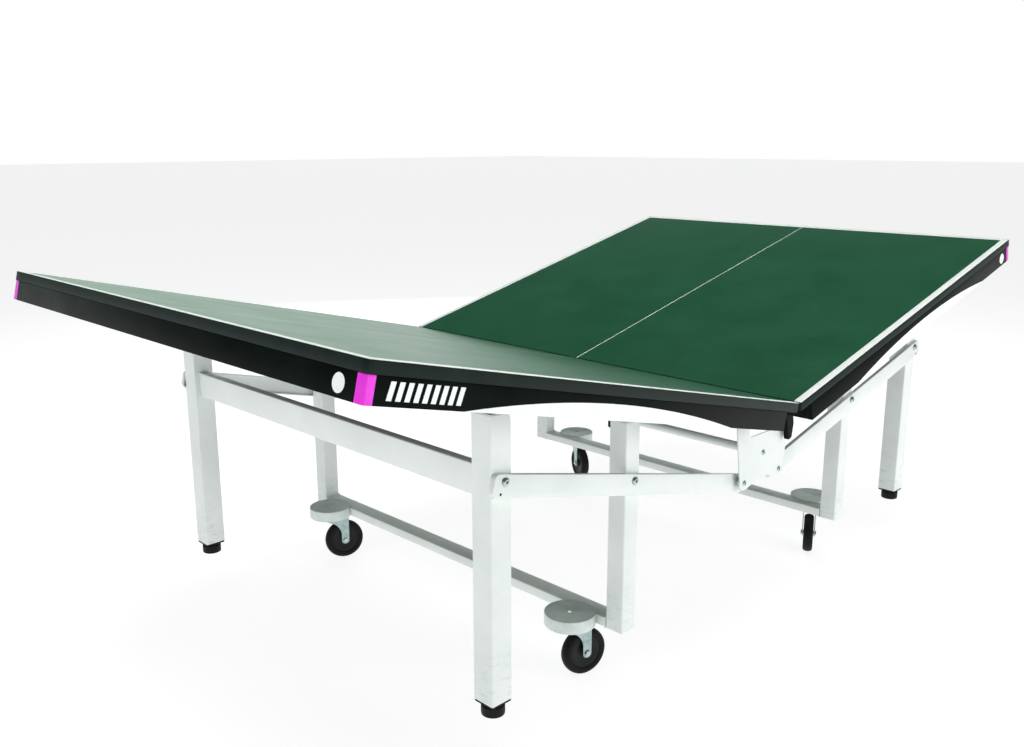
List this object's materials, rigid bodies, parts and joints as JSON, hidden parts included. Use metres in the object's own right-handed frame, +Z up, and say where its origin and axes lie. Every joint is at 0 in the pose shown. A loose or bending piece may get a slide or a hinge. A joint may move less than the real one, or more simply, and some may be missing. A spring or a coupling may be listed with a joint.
{
  "type": "table tennis table",
  "caption": "Folding table tennis table on side links: two green tops with black aprons, white legs, centre plates and swivel castors, shown part-way through its fold.",
  "frame": {"origin": "on the floor under the middle of the net line", "axes": "+X along the table towards the right half, +Y across it towards the rear side, +Z up"},
  "size_m": [2.7078, 1.525, 0.9589],
  "materials": {
    "playing_top": "matt green lacquer on 25 mm board",
    "black_frame": "satin black powder coat",
    "corner_guard": "moulded magenta plastic",
    "white_frame": "smooth white powder coat",
    "foot_rubber": "moulded black rubber",
    "zinc_fork": "bright zinc plate on pressed steel",
    "wheel_rubber": "solid black rubber tread"
  },
  "bodies": {
    "left_inner_frame": {"left_lower_crossbar": "white_frame", "left_front_inner_leg": "white_frame", "left_front_castor_cup": "white_frame", "left_rear_inner_leg": "white_frame", "left_rear_castor_cup": "white_frame"},
    "left_top": {"left_top_panel": "playing_top", "left_end_apron": "black_frame", "left_inner_rail": "black_frame", "left_clamp_strip": "black_frame", "left_front_side_apron": "black_frame", "left_front_corner_guard": "corner_guard", "left_front_clamp_block": "black_frame", "left_front_pivot_rail": "black_frame", "left_rear_side_apron": "black_frame", "left_rear_corner_guard": "corner_guard", "left_rear_clamp_block": "black_frame", "left_rear_pivot_rail": "black_frame"},
    "left_links": {"left_front_link_bar": "white_frame", "left_rear_link_bar": "white_frame"},
    "left_outer_frame": {"left_outer_crossbar": "white_frame", "left_front_outer_leg": "white_frame", "left_front_foot": "foot_rubber", "left_rear_outer_leg": "white_frame", "left_rear_foot": "foot_rubber"},
    "left_front_swivel": {"left_front_castor_fork": "zinc_fork"},
    "left_front_wheel": {"left_front_castor_wheel": "wheel_rubber"},
    "left_rear_swivel": {"left_rear_castor_fork": "zinc_fork"},
    "left_rear_wheel": {"left_rear_castor_wheel": "wheel_rubber"},
    "right_inner_frame": {"right_lower_crossbar": "white_frame", "right_front_inner_leg": "white_frame", "right_front_castor_cup": "white_frame", "right_rear_inner_leg": "white_frame", "right_rear_castor_cup": "white_frame"},
    "right_top": {"right_top_panel": "playing_top", "right_end_apron": "black_frame", "right_inner_rail": "black_frame", "right_clamp_strip": "black_frame", "right_front_side_apron": "black_frame", "right_front_corner_guard": "corner_guard", "right_front_clamp_block": "black_frame", "right_front_pivot_rail": "black_frame", "right_rear_side_apron": "black_frame", "right_rear_corner_guard": "corner_guard", "right_rear_clamp_block": "black_frame", "right_rear_pivot_rail": "black_frame"},
    "right_links": {"right_front_link_bar": "white_frame", "right_rear_link_bar": "white_frame"},
    "right_outer_frame": {"right_outer_crossbar": "white_frame", "right_front_outer_leg": "white_frame", "right_front_foot": "foot_rubber", "right_rear_outer_leg": "white_frame", "right_rear_foot": "foot_rubber"},
    "right_front_swivel": {"right_front_castor_fork": "zinc_fork"},
    "right_front_wheel": {"right_front_castor_wheel": "wheel_rubber"},
    "right_rear_swivel": {"right_rear_castor_fork": "zinc_fork"},
    "right_rear_wheel": {"right_rear_castor_wheel": "wheel_rubber"},
    "centre_plates": {"front_centre_plate": "white_frame", "rear_centre_plate": "white_frame", "tie_tube": "white_frame"}
  },
  "joints": [
    {"name": "left_top_fold", "type": "hinge", "parent": "left_inner_frame", "child": "left_top", "pos_m": [-0.51826, 0, 0.726], "axis": [0, 1, 0], "range_deg": [-13.6, 61.4]},
    {"name": "left_link_fold", "type": "hinge", "parent": "left_inner_frame", "child": "left_links", "pos_m": [-0.51826, 0, 0.528], "axis": [0, 1, 0], "range_deg": [-13.6, 61.4]},
    {"name": "left_outer_leg_swing", "type": "hinge", "parent": "left_links", "child": "left_outer_frame", "pos_m": [-0.93135, 0, 0.62794], "axis": [0, 1, 0], "range_deg": [-61.4, 13.6]},
    {"name": "centre_plate_swing", "type": "hinge", "parent": "left_links", "child": "centre_plates", "pos_m": [-0.084, 0, 0.4178], "axis": [0, 1, 0], "range_deg": [-61.4, 13.6]},
    {"name": "right_link_fold", "type": "hinge", "parent": "centre_plates", "child": "right_links", "pos_m": [0.084, 0, 0.4178], "axis": [0, -1, 0], "range_deg": [-13.6, 61.4]},
    {"name": "right_inner_frame_swing", "type": "hinge", "parent": "right_links", "child": "right_inner_frame", "pos_m": [0.51826, 0, 0.528], "axis": [0, -1, 0], "range_deg": [-61.4, 13.6]},
    {"name": "right_top_fold", "type": "hinge", "parent": "right_inner_frame", "child": "right_top", "pos_m": [0.51826, 0, 0.726], "axis": [0, -1, 0], "range_deg": [-13.6, 61.4]},
    {"name": "right_outer_leg_swing", "type": "hinge", "parent": "right_links", "child": "right_outer_frame", "pos_m": [0.93135, 0, 0.62794], "axis": [0, -1, 0], "range_deg": [-61.4, 13.6]},
    {"name": "left_front_castor_swivel", "type": "hinge", "parent": "left_inner_frame", "child": "left_front_swivel", "pos_m": [-0.57726, -0.505, 0.14], "axis": [0, 0, 1], "continuous": true},
    {"name": "left_front_wheel_spin", "type": "hinge", "parent": "left_front_swivel", "child": "left_front_wheel", "pos_m": [-0.53863, -0.51535, 0.06], "axis": [0.2588, 0.9659, 0], "continuous": true},
    {"name": "left_rear_castor_swivel", "type": "hinge", "parent": "left_inner_frame", "child": "left_rear_swivel", "pos_m": [-0.57726, 0.505, 0.14], "axis": [0, 0, 1], "continuous": true},
    {"name": "left_rear_wheel_spin", "type": "hinge", "parent": "left_rear_swivel", "child": "left_rear_wheel", "pos_m": [-0.53968, 0.49132, 0.06], "axis": [0.342, 0.9397, 0], "continuous": true},
    {"name": "right_front_castor_swivel", "type": "hinge", "parent": "right_inner_frame", "child": "right_front_swivel", "pos_m": [0.57726, -0.505, 0.14], "axis": [0, 0, 1], "continuous": true},
    {"name": "right_front_wheel_spin", "type": "hinge", "parent": "right_front_swivel", "child": "right_front_wheel", "pos_m": [0.54195, -0.52378, 0.06], "axis": [0.4695, -0.8829, 0], "continuous": true},
    {"name": "right_rear_castor_swivel", "type": "hinge", "parent": "right_inner_frame", "child": "right_rear_swivel", "pos_m": [0.57726, 0.505, 0.14], "axis": [0, 0, 1], "continuous": true},
    {"name": "right_rear_wheel_spin", "type": "hinge", "parent": "right_rear_swivel", "child": "right_rear_wheel", "pos_m": [0.56036, 0.46875, 0.06], "axis": [0.9063, -0.4226, 0], "continuous": true}
  ],
  "couplings": [
    {"joint": "left_link_fold", "follows": "left_top_fold", "ratio": 1},
    {"joint": "left_outer_leg_swing", "follows": "left_top_fold", "ratio": -1},
    {"joint": "centre_plate_swing", "follows": "left_top_fold", "ratio": -1},
    {"joint": "right_link_fold", "follows": "left_top_fold", "ratio": 1},
    {"joint": "right_inner_frame_swing", "follows": "left_top_fold", "ratio": -1},
    {"joint": "right_top_fold", "follows": "left_top_fold", "ratio": 1},
    {"joint": "right_outer_leg_swing", "follows": "left_top_fold", "ratio": -1}
  ]
}
